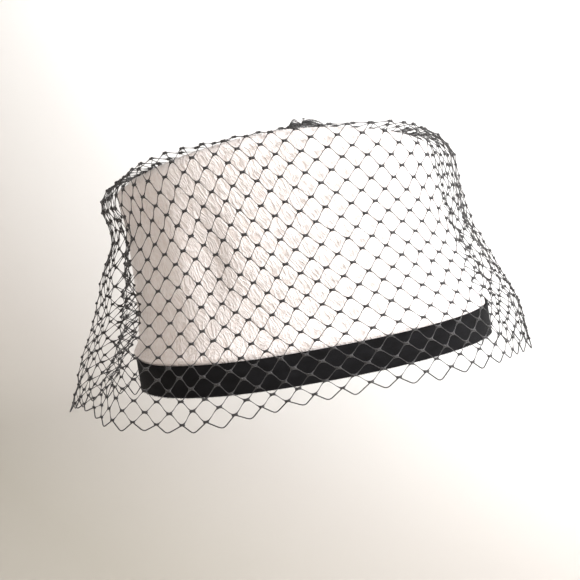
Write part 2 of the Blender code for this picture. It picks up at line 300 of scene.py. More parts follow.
# Floor and light
studio = {
    "floorHeight": -0.32,
    "floorReach": 2.4,
    "floorColumns": 64,
    "floorRows": 4,
    "bendRows": 8,
    "bendRadius": 0.7,
    "wallHeight": 2.2,
    "paintRoughness": 0.9,
    "towardsWindow": (0.5, 0.175, 0.2),
    "paintShift": 0.55,
    "paintedLightStops": (
        # painted light and shade: paler towards the window, greyer towards the room
        (0.0, (0.74, 0.725, 0.71)),
        (0.2, (0.62, 0.60, 0.575)),
        (0.44, (0.41, 0.385, 0.335)),
        (0.5, (0.41, 0.385, 0.335)),
        (0.65, (0.51, 0.485, 0.455)),
        (0.825, (0.67, 0.66, 0.645)),
        (0.95, (0.84, 0.84, 0.84)),
    ),
    "skyColour": (1.0, 0.865, 0.76),
    "skyStrength": 0.21,
    "lights": (
        # name, place, aim, size, watts, colour
        ("keyWindow", (1.08, -0.92, 0.60), (0, 0, 0.06), 0.8, 42, (1.0, 0.99, 0.99)),
        ("frontFill", (-0.95, -1.10, 0.35), (0, 0, 0.06), 1.2, 4.6, (1.0, 0.855, 0.735)),
        ("topSoft", (0.15, 0.25, 1.30), (0, 0, 0.06), 1.0, 3, (1.0, 1.0, 1.0)),
        ("backWash", (1.45, 0.60, 0.80), (0.55, 2.1, -0.1), 0.8, 45, (1.0, 1.0, 1.0)),
    ),
}


def makeFloor():
    # A round floor that turns up into a wall all round, so that no edge shows from any side
    floorRows, bendRows, bend = studio["floorRows"], studio["bendRows"], studio["bendRadius"]
    flat = studio["floorReach"] - bend

    def place(angles, steps):
        turn = np.clip((steps - floorRows) / bendRows, 0, 1) * pi / 2
        radius = np.where(steps <= floorRows, steps / floorRows * flat, flat + bend * np.sin(turn))
        lift = np.where(steps <= floorRows + bendRows, bend * (1 - np.cos(turn)), studio["wallHeight"])
        x, y = radius * np.cos(angles), radius * np.sin(angles)
        return np.stack((x, y, studio["floorHeight"] + lift), axis=-1)

    floor = wrappedGrid("studioFloor", studio["floorColumns"], floorRows + bendRows + 1, place)
    material, shader, start = newMaterial("studioPaintedLight", Roughness=studio["paintRoughness"])
    x, y, z = (start.add("ShaderNodeSeparateXYZ", None, {"Vector": start}, k) for k in range(3))
    alongX, alongY, alongZ = studio["towardsWindow"]
    # the paint is a gradient of painted light and shade, paler towards the window and greyer towards the
    # room
    share = x * alongX + y * alongY + z * alongZ + studio["paintShift"]
    paint = start.add("ShaderNodeValToRGB", {"stops": studio["paintedLightStops"]}, {"Fac": share})
    feed(shader, "Base Color", paint)
    floor.data.materials.append(material)
    bpy.ops.object.mode_set(mode="EDIT")
    bpy.ops.mesh.select_all(action="SELECT")
    bpy.ops.mesh.flip_normals()
    bpy.ops.object.mode_set(mode="OBJECT")


def makeLights():
    for name, place, aim, size, watts, colour in studio["lights"]:
        data = bpy.data.lights.new(name, "AREA")
        data.shape = "DISK"
        data.size = size
        data.energy = watts
        data.color = colour
        light = bpy.data.objects.new(name, data)
        light.location = place
        light.rotation_euler = (Vector(aim) - Vector(place)).to_track_quat("-Z", "Y").to_euler()
        bpy.context.collection.objects.link(light)
    world = bpy.data.worlds.new("softSky")
    world.use_nodes = True
    sky = world.node_tree.nodes["Background"]
    sky.inputs["Color"].default_value = (*studio["skyColour"], 1)
    sky.inputs["Strength"].default_value = studio["skyStrength"]
    bpy.context.scene.world = world
    bpy.context.scene.view_settings.view_transform = "Standard"


# Leather crown
leather = {
    "columns": 430,
    "wallRows": 118,
    "wallRowEase": 1.02,
    "edgeRows": 8,
    "tipRows": 34,
    "innerRows": 14,
    "innerTipShares": (0.0, 0.25, 0.5, 0.75, 0.93),
    "seatBlend": 0.004,
    "lumpSize": 0.016,
    "lumpDepth": 0.00030,
    "swaySize": 0.011,
    "swayShare": 1.4,
    "foldLength": 0.0085,
    "foldWidth": 0.0032,
    "foldDrift": 12,
    "foldLevel": 0.55,
    "foldDepth": 0.00020,
    "foldSlant": 65,
    "lightColour": (0.835, 0.795, 0.785),
    # painted shade in the crinkles' valleys, and the colour of the darker blotches
    "creaseShadeAndBlotchColour": (0.745, 0.675, 0.645),
    "suedeColour": (0.60, 0.53, 0.46),
    "roughness": 0.56,
    "polish": 0.16,
    "warpScale": 110.0,
    "warpReach": 0.005,
    "wrinkleLength": 0.0100,
    "wrinkleWidth": 0.0021,
    "fineWrinkle": 0.45,
    "fineShare": 0.3,
    "wrinkleBump": 0.00062,
    "calmScale": 16.0,
    "calmToLeft": 4.0,
    "calmest": 0.80,
    "blotchScale": 28.0,
    "blotchShare": 0.4,
    "grainScale": 2300.0,
    "grainBump": 0.00008,
}


def leatherStations():
    # (kind, share) of each row of the shell, from the middle of the inside over the rim to the tip's middle
    seatTop = shape["bandHeight"] + shape["seatGap"]
    stations = [("innerTip", share) for share in leather["innerTipShares"]]
    stations += [("innerWall", share) for share in np.linspace(1.0, 0.0, leather["innerRows"])]
    stations += [("seat", height) for height in (shape["rimTurn"], seatTop * 0.5, seatTop)]
    wallShares = np.linspace(0.0, 1.0, leather["wallRows"]) ** leather["wallRowEase"]
    stations += [("wall", share) for share in wallShares]
    stations += [("edge", turn) for turn in np.linspace(0, pi / 2, leather["edgeRows"] + 1)[1:]]
    stations += [("tip", share) for share in np.linspace(1.0, 0.0, leather["tipRows"])[1:]]
    return stations


def stationPoints(kind, share, angles):
    wall, radius = shape["leatherWall"], shape["edgeRadius"]
    top = edgeHeight(*wallOutline(angles, 1.0))
    low = shape["bandHeight"] + shape["seatGap"] + shape["puffRound"]
    seat = shape["bandThickness"] + shape["seatGap"]
    if kind == "innerTip":
        points = tipPoint(angles, share, radius)
        points[:, 2] -= wall
        return points
    if kind == "innerWall":
        height = shape["rimTurn"] + (top - wall - radius * 0.5 - shape["rimTurn"]) * share
        # straight behind the band, and along with the outside above it
        blend = np.clip((height - low) / leather["seatBlend"], 0, 1)
        x, y = wallOutline(angles, height / top, wall)
        seatX, seatY = bandFace(angles, seat + wall)
        return np.stack((seatX + (x - seatX) * blend, seatY + (y - seatY) * blend, height), axis=-1)
    if kind == "seat":
        x, y = bandFace(angles, seat)
        return np.stack((x, y, x * 0 + share), axis=-1)
    if kind == "wall":
        height = low + (top - radius - low) * share
        return wallPoint(angles, height / top)
    if kind == "edge":
        points = wallPoint(angles, 1.0, radius * (1 - np.cos(share)))
        points[:, 2] -= radius * (1 - np.sin(share))
        return points
    return tipPoint(angles, share, radius)


def creaseDepth(point, direction):
    # Soft lumps, and slanted folds that are long along the slant and narrow across it
    slant = radians(leather["foldSlant"])
    along = direction.dot(point) * np.cos(slant) - point.z * np.sin(slant)
    across = direction.dot(point) * np.sin(slant) + point.z * np.cos(slant)
    lump = noise.noise(point / leather["lumpSize"])
    sway = leather["swayShare"] * noise.noise(point / leather["swaySize"] + Vector((7, 3, 1)))
    drift = point.length * leather["foldDrift"]
    fold = Vector((along / leather["foldLength"], across / leather["foldWidth"] + sway, drift))
    ridge = 1 - 2 * abs(noise.noise(fold))
    return lump * leather["lumpDepth"] + (ridge - leather["foldLevel"]) * leather["foldDepth"]


def facesOut(vertex):
    # The outside of the shell faces away from a point within the hat, or up
    inside, flatness, upright = 0.1, 0.3, 0.7
    away = Vector((vertex.co.x, vertex.co.y, flatness * (vertex.co.z - inside)))
    return vertex.normal.dot(away) > 0 or vertex.normal.z > upright


def makeCrown():
    stations = leatherStations()
    # how far above the band the creases and the dyed outside begin, in shares of the puff's rounding
    creaseStart, dyeStart = 0.3, -0.5
    # nearly level places have no slope of their own to draw the folds along
    nearlyLevel = 0.2

    def place(angles, steps):
        points = np.zeros((len(angles), 3))
        for k, (kind, share) in enumerate(stations):
            row = steps == k
            points[row] = stationPoints(kind, share, angles[row])
        return points

    piece = wrappedGrid("leatherCrown", leather["columns"], len(stations) - 1, place)
    mesh = piece.data
    creased = mesh.attributes.new("creased", "FLOAT", "POINT")
    moves = []
    for vertex in mesh.vertices:
        normal = vertex.normal
        above = (vertex.co.z - shape["bandHeight"]) / shape["puffRound"] if facesOut(vertex) else -1.0
        strength = min(max(above - creaseStart, 0.0), 1.0)
        flat = Vector((-normal.y, normal.x, 0))
        direction = flat.normalized() if flat.length > nearlyLevel else Vector((1, 0, 0))
        moves.append(normal * (creaseDepth(vertex.co, direction) * strength))
        creased.data[vertex.index].value = 1.0 if above > dyeStart else 0.0
    for vertex, move in zip(mesh.vertices, moves):
        vertex.co += move
    finishPiece(piece, "crown", leatherMaterial())
    print("crown:", len(mesh.polygons), "faces")


def leatherMaterial():
    material, shader, start = newMaterial("crinkledLeather", Specular_IOR_Level=0.42)
    # Slanted crinkles: the pattern is turned, then drawn out along the slant
    warp = start.cloud(leather["warpScale"], 2.0, output=1)
    reach = (leather["warpReach"],) * 3
    sway = start.add("ShaderNodeVectorMath", {"operation": "MULTIPLY_ADD"}, {0: warp, 1: reach, 2: start})
    slant = (0.0, radians(leather["foldSlant"]), 0.0)

    def crinkle(size, detail):
        long, wide = leather["wrinkleLength"] * size, leather["wrinkleWidth"] * size
        turned = start.add(
            "ShaderNodeMapping", {"vector_type": "TEXTURE"},
            {"Vector": sway, "Rotation": slant, "Scale": (long, wide, wide)},
        )
        kind = {"noise_type": "RIDGED_MULTIFRACTAL", "normalize": True}
        ridges = {"Scale": 1.0, "Detail": detail, "Roughness": 0.5, "Offset": 0.9, "Gain": 1.6}
        return start.add("ShaderNodeTexNoise", kind, {"Vector": turned, **ridges})

    grain = start.add(
        "ShaderNodeTexVoronoi", {"feature": "F1"}, {"Vector": start, "Scale": leather["grainScale"]},
    )
    blotch = start.cloud(leather["blotchScale"], 3.0)
    # the leather is smoother in patches and towards its left end
    patch = start.cloud(leather["calmScale"], 1.0)
    along = start.add("ShaderNodeSeparateXYZ", None, {"Vector": start})
    calm = (patch + along * leather["calmToLeft"]).mapped(-0.02, 0.36, leather["calmest"], 1.0)
    fineShare = leather["fineShare"]
    height = crinkle(1.0, 1.5) * (1 - fineShare) + crinkle(leather["fineWrinkle"], 1.0) * fineShare
    height = height * calm
    # the colour is painted darker in the crinkles' valleys, a painted shade, and also varies with the
    # blotches
    tone = (height + blotch * leather["blotchShare"]).mapped(0.25, 1.0)
    dyedAndCreaseShaded = mixColour(tone, leather["creaseShadeAndBlotchColour"], leather["lightColour"])
    outside = start.add("ShaderNodeAttribute", {"attribute_name": "creased"}, None, 2)
    feed(shader, "Base Color", mixColour(outside, leather["suedeColour"], dyedAndCreaseShaded))
    feed(shader, "Roughness", tone * -leather["polish"] + leather["roughness"])
    deep = height.bump(0.9, leather["wrinkleBump"])
    feed(shader, "Normal", grain.bump(0.6, leather["grainBump"], deep))
    return material


# Velvet band
velvet = {
    "columns": 400,
    "faceRows": 14,
    "edgeRound": 0.0005,
    "edgeDepth": 0.0002,
    "napScale": 420,
    "napWave": 0.00005,
    "colour": (0.0042, 0.0042, 0.0047),
    # a lighter base colour for the patches, a painted sheen
    "sheenColour": (0.0082, 0.0082, 0.0095),
    "patchScale": 60.0,
    "pileScale": 1900.0,
    "pileBump": 0.0002,
    "fibres": 15000,
    "fibreLength": 0.00075,
    "fibreWidth": 0.00007,
    "fibreRoot": 0.00015,
    # length of a fibre on the face, as a share
    "faceFibre": 0.45,
    # shares of the fibres at the lower edge and at both edges, and how far from the edge they spread
    "lowFibres": 0.45,
    "edgeFibres": 0.75,
    "edgeSpread": 0.0004,
    "lowTilt": -1.1,
    "highTilt": 0.9,
    "tiltSpread": 0.35,
    "leanSpread": 0.45,
    "frayedAngle": 351,
    "frayedReach": 2.2,
    "frayedShare": 0.22,
    "frayedLength": 3.5,
}


def velvetProfile():
    # (inset, height) round the band's section, from its inner foot
    thick, high = shape["bandThickness"], shape["bandHeight"]
    r, deep = velvet["edgeRound"], velvet["edgeDepth"]
    turns = [radians(t) for t in (0, 22.5, 45, 67.5, 90)]
    profile = [(thick, deep)]
    profile += [(r - r * np.sin(t), r - r * np.cos(t)) for t in turns]
    profile += [(0.0, h) for h in np.linspace(r, high - r, velvet["faceRows"])[1:-1]]
    profile += [(r - r * np.cos(t), high - r + r * np.sin(t)) for t in turns]
    profile += [(thick, high - deep), (thick, high * 0.5), (thick, deep)]
    return profile


def makeBand(cloth):
    profile = velvetProfile()

    def place(angles, steps):
        points = np.zeros((len(angles), 3))
        for k, (inset, height) in enumerate(profile):
            row = steps == k
            x, y = bandFace(angles[row], inset)
            points[row] = np.stack((x, y, x * 0 + height), axis=-1)
        return points

    piece = wrappedGrid("velvetBand", velvet["columns"], len(profile) - 1, place)
    for vertex in piece.data.vertices:
        nap = noise.noise(vertex.co * velvet["napScale"])
        vertex.co += vertex.normal * nap * velvet["napWave"]
    finishPiece(piece, "band", cloth)
    print("band:", len(piece.data.polygons), "faces")


def makePile(cloth):
    # Short fibres that stand out of the velvet, denser along its two edges, each a closed sliver
    random = np.random.default_rng(4)
    count = velvet["fibres"]
    angle = random.random(count) * 2 * pi
    pick = random.random(count)
    low = pick < velvet["lowFibres"]
    atEdge = pick < velvet["edgeFibres"]
    high = shape["bandHeight"]
    fromEdge = np.abs(random.normal(0, velvet["edgeSpread"], count))
    height = np.where(low, fromEdge, np.where(atEdge, high - fromEdge, random.random(count) * high))
    x, y = bandFace(angle, velvet["fibreRoot"])
    step = 0.01
    aheadX, aheadY = bandFace(angle + step, velvet["fibreRoot"])
    tangent = np.stack((aheadX - x, aheadY - y, x * 0), axis=-1)
    tangent /= np.linalg.norm(tangent, axis=1)[:, None]
    outward = np.stack((tangent[:, 1], -tangent[:, 0], x * 0), axis=-1)
    # fibres point down at the lower edge, up at the upper one, and straight out between them
    tilt = np.where(low, velvet["lowTilt"], np.where(atEdge, velvet["highTilt"], 0.0))
    tilt = tilt + random.normal(0, velvet["tiltSpread"], count)
    lean = random.normal(0, velvet["leanSpread"], count)
    way = outward + tangent * lean[:, None] + np.array((0, 0, 1.0)) * tilt[:, None]
    way /= np.linalg.norm(way, axis=1)[:, None]
    foot = np.stack((x, y, height), axis=-1)
    long = velvet["fibreLength"] * (0.5 + random.random(count) ** 2)
    long = np.where(atEdge, long, long * velvet["faceFibre"])
    frayed = (pick > velvet["lowFibres"]) & atEdge & (random.random(count) < velvet["frayedShare"])
    nearEnd = bell(angle, velvet["frayedAngle"], velvet["frayedReach"])
    long = long * (1 + velvet["frayedLength"] * frayed * nearEnd)
    side = np.cross(way, (0.31, 0.2, 0.93))
    side /= np.linalg.norm(side, axis=1)[:, None]
    other = np.cross(way, side)
    half = velvet["fibreWidth"] / 2
    across, behind = side * half, other * half
    corners = [foot + across * 1.2, foot - across + behind, foot - across - behind]
    points = np.stack((*corners, foot + way * long[:, None]), axis=1).reshape(-1, 3)
    faces = []
    for k in range(count):
        a = 4 * k
        faces += [(a, a + 2, a + 1), (a, a + 1, a + 3), (a + 1, a + 2, a + 3), (a + 2, a, a + 3)]
    piece = meshPiece("velvetPile", points, faces)
    finishPiece(piece, "band", cloth)
    print("pile:", count, "fibres")


def velvetMaterial():
    material, shader, start = newMaterial(
        "blackVelvet", Roughness=0.95, Specular_IOR_Level=0.15, Sheen_Weight=0.008, Sheen_Roughness=0.45,
        Sheen_Tint=(0.75, 0.76, 0.80, 1),
    )
    brushed = start.add(
        "ShaderNodeMapping", {"vector_type": "POINT"}, {"Vector": start, "Scale": (1.0, 1.0, 3.0)},
    )
    patch = brushed.cloud(velvet["patchScale"], 3.0, 0.6)
    pile = start.cloud(velvet["pileScale"], 2.0)
    # the base colour is painted lighter in brushed patches and in the pile, a painted sheen
    lift = (patch * 0.6 + pile * 0.4).mapped(0.40, 0.62)
    feed(shader, "Base Color", mixColour(lift, velvet["colour"], velvet["sheenColour"]))
    feed(shader, "Normal", pile.bump(0.8, velvet["pileBump"]))
    return material


# Net
net = {
    "columns": 54,
    "frontKnot": 268.5,
    "sheetTurns": 720,
    "sheetSteps": 240,
    "thread": 0.00036,
    "threadSides": 5,
    "threadSizes": (0.9, 1.12),
    "tuftThread": 0.85,
    "hemThread": 0.00070,
    "hemSides": 6,
    "hemSteps": 15,
    "hemBend": 0.26,
    "hemJitter": 0.0006,
    "strandChord": 0.0091,
    "strandSteps": (0, 0.08, 0.18, 0.38, 0.62, 0.82, 0.92, 1),
    "strandHandle": 0.36,
    "strandTurns": (0.50, 0.78),
    "knotLength": 0.0033,
    "knotHeight": 0.00146,
    "knotSizes": (0.88, 1.14),
    "knotPinch": 0.80,
    "knotEnds": 0.45,
    "knotWaves": 0.9,
    "knotHorn": 2.9,
    "knotReach": 0.0014,
    "knotJitter": 0.00022,
    "slimmest": 0.3,
    "flare": 0.040,
    "drop": 0.016,
    "hemDip": 0.0061,
    "rowLift": 0.021,
    "relaxSteps": 90,
    "stretch": 0.03,
    "crumple": 0.5,
    "crumpleAt": (20, 55),
    "crumpleRows": 8,
    "gatherPlace": 0.3,
    "gatherShift": 0.020,
    "gatherRadius": 0.022,
    "seat": 0.0009,
    "tuftBunches": 13,
    "tuftHeight": 0.0090,
    "tuftPleat": 0.0011,
    "tuftDrawn": 0.8,
    # random shifts of the tuft's knots: turn, lift, and reach as a share
    "tuftJitter": (0.03, 0.0008, 0.10),
    # the height inside the hat that the net's outside is judged from
    "middle": 0.02,
    "colour": (0.007, 0.007, 0.008),
    "dyeColour": (0.018, 0.017, 0.018),
    "dyeScale": 45.0,
    "roughness": 0.38,
    "roughnessVaries": 0.25,
    "twistScale": 2600.0,
    "twistBump": 0.00008,
}

netLevels = (
    # place on the hat, share of the net's length, lean in degrees, then how far the net stands off
    # at the right, back, left and front, in shares of the flare
    (0.66, 0.180, 0, 0.030, 0.020, 0.018, 0.028),
    (0.90, 0.297, 10, 0.030, 0.015, 0.015, 0.015),
    (1.00, 0.345, 45, 0.075, 0.020, 0.060, 0.030),
    (1.10, 0.396, 75, 0.300, 0.130, 0.275, 0.100),
    (1.20, 0.447, 90, 0.310, 0.200, 0.210, 0.110),
    (1.42, 0.573, 90, 0.300, 0.240, 0.430, 0.115),
    (1.66, 0.710, 90, 0.430, 0.280, 0.610, 0.130),
    (1.88, 0.836, 90, 0.470, 0.330, 0.780, 0.180),
    (3.00, 1.000, 90, 0.520, 0.400, 0.940, 0.260),
)

# How wide the columns of cells are: wide over the front, narrow where the net gathers in folds
netSpread = (
    # angle, degrees from one column to the next
    (0, 6.5),
    (150, 6.5),
    (190, 6.0),
    (212, 5.6),
    (224, 6.4),
    (237, 7.0),
    (250, 7.5),
    (259, 6.6),
    (267, 6.1),
    (279, 8.0),
    (296, 9.0),
    (305, 9.4),
    (314, 8.4),
    (321, 6.2),
    (330, 6.3),
    (345, 6.5),
    (360, 6.5),
)

# In the tables below, start, full and end are places on the hat, between which a form grows and fades

# Where the rows of knots hang lower than level, or higher where negative
netWaves = (
    # angle, half angle, start, full, end, share of the net's length
    (240, 17, 1.30, 1.85, 2.70, 0.020),
    (300, 13, 1.05, 1.50, 2.30, -0.020),
    (20, 20, 1.20, 1.70, 2.60, 0.012),
    (80, 24, 1.20, 1.70, 2.60, -0.012),
    (140, 20, 1.20, 1.70, 2.60, 0.012),
)

hemDrops = (
    # angle, drop of the hem as a share
    (0, 0.55),
    (50, 0.95),
    (130, 1.00),
    (172, 0.30),
    (195, -0.18),
    (213, 0.16),
    (232, 0.60),
    (253, 0.27),
    (278, 0.10),
    (312, 0.27),
    (342, 0.38),
    (360, 0.55),
)

netFolds = (
    # angle, half angle, start, full, end, depth as a share of the flare
    (226, 20, 0.94, 1.00, 1.22, 0.130),
    (318, 26, 0.92, 1.00, 1.30, 0.095),
    (199, 7, 1.05, 1.66, 2.10, -0.40),
    (214, 8, 1.10, 3.00, 4.00, 0.16),
    (183, 8, 1.20, 3.00, 4.00, 0.10),
    (158, 10, 1.20, 2.20, 4.00, -0.16),
    (128, 12, 1.30, 2.20, 4.00, 0.16),
    (98, 10, 1.30, 2.20, 4.00, -0.12),
    (66, 12, 1.30, 2.20, 4.00, 0.14),
    (33, 9, 1.20, 2.20, 4.00, -0.16),
    (8, 10, 1.10, 2.20, 4.00, 0.12),
    (338, 9, 1.20, 2.20, 4.00, -0.10),
)

# Rucks: the net drawn together in narrow upright pleats that stand in and out by turns
netRucks = (
    # angle, half angle, start, full, end, share drawn in, depth
    (212, 3, 0.95, 1.20, 1.75, 0.70, 0.0010),
    (200, 12, 1.12, 1.60, 2.12, 0.84, 0.0038),
    (204, 6, 1.45, 1.85, 2.05, 0.60, 0.0030),
    (178, 5, 1.30, 1.80, 2.60, 0.40, 0.0025),
    (350, 6, 1.05, 1.45, 2.40, 0.45, 0.0028),
    (18, 10, 1.10, 1.60, 2.60, 0.50, 0.0030),
    (62, 9, 1.25, 1.75, 2.70, 0.35, 0.0022),
    (104, 12, 1.10, 1.45, 2.10, 0.40, 0.0024),
    (131, 8, 1.45, 1.95, 2.90, 0.38, 0.0024),
    (158, 9, 1.10, 1.60, 2.60, 0.45, 0.0028),
)


def byDirection(angle, values):
    # right, back, left and front values, each one full in its own direction
    turn = (angle / (pi / 2)) % 4
    first = turn.astype(int) % 4
    ease = (1 - np.cos(pi * (turn - turn.astype(int)))) / 2
    values = np.array(values)
    return values[first] + (values[(first + 1) % 4] - values[first]) * ease


def hemDrop(angle):
    turn = np.degrees(angle) % 360
    drops = np.zeros_like(turn)
    for (before, drop), (after, nextDrop) in zip(hemDrops, hemDrops[1:]):
        ease = (1 - np.cos(pi * np.clip((turn - before) / (after - before), 0, 1))) / 2
        drops = np.where((turn >= before) & (turn <= after), drop + (nextDrop - drop) * ease, drops)
    return net["drop"] * drops


def foldDepth(angle, place):
    total = 0.0
    for centre, halfAngle, start, full, end, depth in netFolds:
        grown = np.interp(place, (start, full, end), (0, 1, 0))
        total = total + depth * net["flare"] * bell(angle, centre, halfAngle) * grown
    return total


def rimOutward(angle):
    # Unit directions square to the rim's oval
    step = 0.01
    x0, y0 = bandFace(angle - step)
    x1, y1 = bandFace(angle + step)
    long = np.hypot(x1 - x0, y1 - y0)
    return np.stack(((y1 - y0) / long, -(x1 - x0) / long, long * 0), axis=-1)


def gatherPoint(angle, radius, lift):
    # A point at a true radius from the middle of the gather, lifted off the leather
    x, y = net["gatherShift"] + radius * np.cos(angle), radius * np.sin(angle)
    share = np.hypot(x / (shape["tipLength"] / 2), y / (shape["tipWidth"] / 2))
    x = x + shape["tipShift"]
    return np.stack((x, y, tipHeight(x, y, share) + lift), axis=-1)


def guidePoint(angle, place):
    # place is 0 to 1 on the tip, 1 to 2 down the wall and 2 to 3 from the rim to the hem
    if place <= 1:
        return tipPoint(angle, place)
    if place <= 2:
        return wallPoint(angle, 2 - place)
    x, y = bandFace(angle)
    return np.stack((x, y, -(hemDrop(angle) + net["hemDip"]) * (place - 2)), axis=-1)


def sheetPlaces():
    # Shares of the net's length, and the places on the hat that they are at
    shares = [0.0] + [level[1] for level in netLevels]
    places = [net["gatherPlace"]] + [level[0] for level in netLevels]
    return shares, places


def netSheet(angleSteps, alongSteps):
    # The net's surface as a table of points: angles by shares of its length from the gather to the hem
    angle = np.arange(angleSteps) / angleSteps * 2 * pi
    outward = rimOutward(angle)
    up = np.array((0, 0, 1.0))
    shares = sheetPlaces()[0]
    points = [gatherPoint(angle, net["gatherRadius"], net["seat"])]
    for place, _, lean, *standOff in netLevels:
        reach = net["flare"] * byDirection(angle, standOff) + foldDepth(angle, place)
        stand = outward * np.sin(radians(lean)) + up * np.cos(radians(lean))
        points.append(guidePoint(angle, place) + stand * reach[:, None])
    points = np.stack(points, axis=1)
    slopes = np.gradient(points, np.array(shares), axis=1)
    sheet = np.zeros((angleSteps, alongSteps + 1, 3))
    for j in range(alongSteps + 1):
        along = j / alongSteps
        k = min(max(int(np.searchsorted(shares, along, side="right")) - 1, 0), len(shares) - 2)
        span = shares[k + 1] - shares[k]
        t = (along - shares[k]) / span
        ahead = 3 * t**2 - 2 * t**3
        row = points[:, k] * (1 - ahead) + points[:, k + 1] * ahead
        bend = slopes[:, k] * (t - 2 * t**2 + t**3) + slopes[:, k + 1] * (t**3 - t**2)
        sheet[:, j] = row + span * bend
    return sheet


class Sheet:
    # Reads the table between its points
    def __init__(self, table):
        self.table = table
        self.turns = len(table)
        self.steps = table.shape[1] - 1

    def at(self, angle, along):
        a = (angle / (2 * pi) * self.turns) % self.turns
        v = np.clip(along, 0, 1) * self.steps
        a0 = np.floor(a).astype(int) % self.turns
        v0 = np.minimum(np.floor(v).astype(int), self.steps - 1)
        a1 = (a0 + 1) % self.turns
        ta, tv = (a - np.floor(a))[..., None], (v - v0)[..., None]
        low = self.table[a0, v0] * (1 - ta) + self.table[a1, v0] * ta
        high = self.table[a0, v0 + 1] * (1 - ta) + self.table[a1, v0 + 1] * ta
        return low * (1 - tv) + high * tv


def columnAngles(column):
    # The angle of a column of knots, counted from the front so that it may have a half
    turns = np.linspace(0, 360, 721)
    step = turns[1]
    angles, widths = zip(*netSpread)
    passed = np.concatenate(([0], np.cumsum(step / np.interp(turns[:-1] + step / 2, angles, widths))))
    passed *= net["columns"] / passed[-1]
    start = np.interp(net["frontKnot"], turns, passed)
    return radians(1) * np.interp((column + start) % net["columns"], passed, turns)


def knotRows(sheet):
    # Shares of the net's length at its rows of knots. A strand's chord is constant, so rows are
    # closer where cells are wide
    fine = np.linspace(0, 1, 400)
    widest = net["strandChord"] * 0.85
    width, long = [], []
    angles = columnAngles(np.arange(-4, 5))
    for along in fine:
        ring = sheet.at(angles, np.full(len(angles), along))
        width.append(np.linalg.norm(np.diff(ring, axis=0), axis=1).mean())
        long.append(ring)
    long = np.array(long)
    step = np.median(np.linalg.norm(np.diff(long, axis=0), axis=2), axis=1)
    half = np.minimum(np.array(width) / 2, widest)
    rowsPerMetre = 1 / np.sqrt(net["strandChord"] ** 2 - half**2)
    count = np.concatenate(([0], np.cumsum(step * (rowsPerMetre[1:] + rowsPerMetre[:-1]) / 2)))
    rows = int(round(count[-1]))
    return np.interp(np.arange(rows + 1) / rows * count[-1], count, fine)


def partners(columns, side, shifted):
    # Shifted rows sit half a column on, so their two lower neighbours are the same column and the next
    return (np.arange(columns) + (side if shifted else side - 1)) % columns


def relaxKnots(sheet, angle, along):
    # Slides the knots over the sheet until the strands between them have nearly one length
    columns, rows = angle.shape
    turn, step = 2 * pi / sheet.turns, 1 / sheet.steps
    ease, mostTurn, mostStep, leastSpread = 0.8, 0.02, 0.01, 0.05
    chord, shortest, longest = net["strandChord"], 1 - net["stretch"], 1 + net["stretch"]
    for _ in range(net["relaxSteps"]):
        here = sheet.at(angle, along)
        byAngle = (sheet.at(angle + turn, along) - sheet.at(angle - turn, along)) / (2 * turn)
        lower, upper = np.clip(along - step, 0, 1), np.clip(along + step, 0, 1)
        byAlong = (sheet.at(angle, upper) - sheet.at(angle, lower)) / (upper - lower)[..., None]
        pull = np.zeros_like(here)
        links = np.zeros(angle.shape)
        for r in range(rows - 1):
            for side in (0, 1):
                partner = partners(columns, side, r % 2)
                gap = here[partner, r + 1] - here[:, r]
                long = np.linalg.norm(gap, axis=1)
                # the net may crumple where the gather is close to the right end
                crumple = net["crumple"] * bell(angle[:, r], *net["crumpleAt"])
                crumple = crumple * max(1 - r / net["crumpleRows"], 0)
                wanted = np.clip(long, chord * (shortest - crumple), chord * longest)
                move = gap * ((long - wanted) / np.maximum(long, 1e-6) * 0.5)[:, None]
                pull[:, r] += move
                np.add.at(pull, (partner, r + 1), -move)
                links[:, r] += 1
                np.add.at(links, (partner, r + 1), 1)
        pull /= links[..., None]
        # the pull, as steps along the sheet's two directions
        aa = (byAngle**2).sum(-1) + 1e-9
        bb = (byAlong**2).sum(-1) + 1e-9
        ab = (byAngle * byAlong).sum(-1)
        pa, pb = (pull * byAngle).sum(-1), (pull * byAlong).sum(-1)
        fall = np.maximum(aa * bb - ab**2, leastSpread * aa * bb)
        angle = angle + ease * np.clip((pa * bb - pb * ab) / fall, -mostTurn, mostTurn)
        change = ease * np.clip((pb * aa - pa * ab) / fall, -mostStep, mostStep)
        change[:, 0] = change[:, -1] = 0
        along = np.clip(along + change, 0, 1)
    return angle, along


def drawTogether(angle, place):
    # Draws columns of knots together at the rucks. Every second column stands out and the others in
    depth = np.zeros_like(angle)
    turns = 1 - 2 * (np.arange(len(angle)) % 2)[:, None]
    for centre, halfAngle, start, full, end, drawn, ruckDepth in netRucks:
        grown = bell(angle, centre, halfAngle) * np.interp(place, (start, full, end), (0, 1, 0))
        depth = depth + turns * ruckDepth * grown
        angle = angle - np.radians(angleGap(angle, centre)) * drawn * grown
    return angle, depth


def tuftRows(angle, random):
    # Rows of knots inside the gather: flat folds run together, then stand up as a small ruffle
    rows = (
        # radius and lift as shares of the gather's radius and the tuft's height, and how far folds bunch
        (0.80, 0.10, 0.20),
        (0.60, 0.36, 0.30),
        (0.43, 0.68, 0.30),
        (0.27, 0.92, 0.35),
        (0.13, 0.86, 0.40),
    )
    bunches = net["tuftBunches"]
    turnJitter, liftJitter, reachJitter = net["tuftJitter"]
    made = []
    for radius, lift, bunch in rows:
        centre = np.rint(angle / (2 * pi) * bunches) / bunches * 2 * pi
        turned = angle + (centre - angle) * bunch * net["tuftDrawn"]
        turned = turned + random.normal(0, turnJitter, len(angle))
        pleat = np.sin(angle * bunches) * net["tuftPleat"] * (1 - bunch * 0.6)
        ruffle = 0.76 + 0.12 * np.sin(angle + 2.2) + 0.10 * np.sin(5 * angle + 1)
        up = net["seat"] + net["tuftHeight"] * lift * ruffle + pleat
        up = up + random.normal(0, liftJitter, len(angle))
        wide = net["gatherRadius"] * radius * (1 + random.normal(0, reachJitter, len(angle)))
        made.append(gatherPoint(turned, wide, up))
    return made


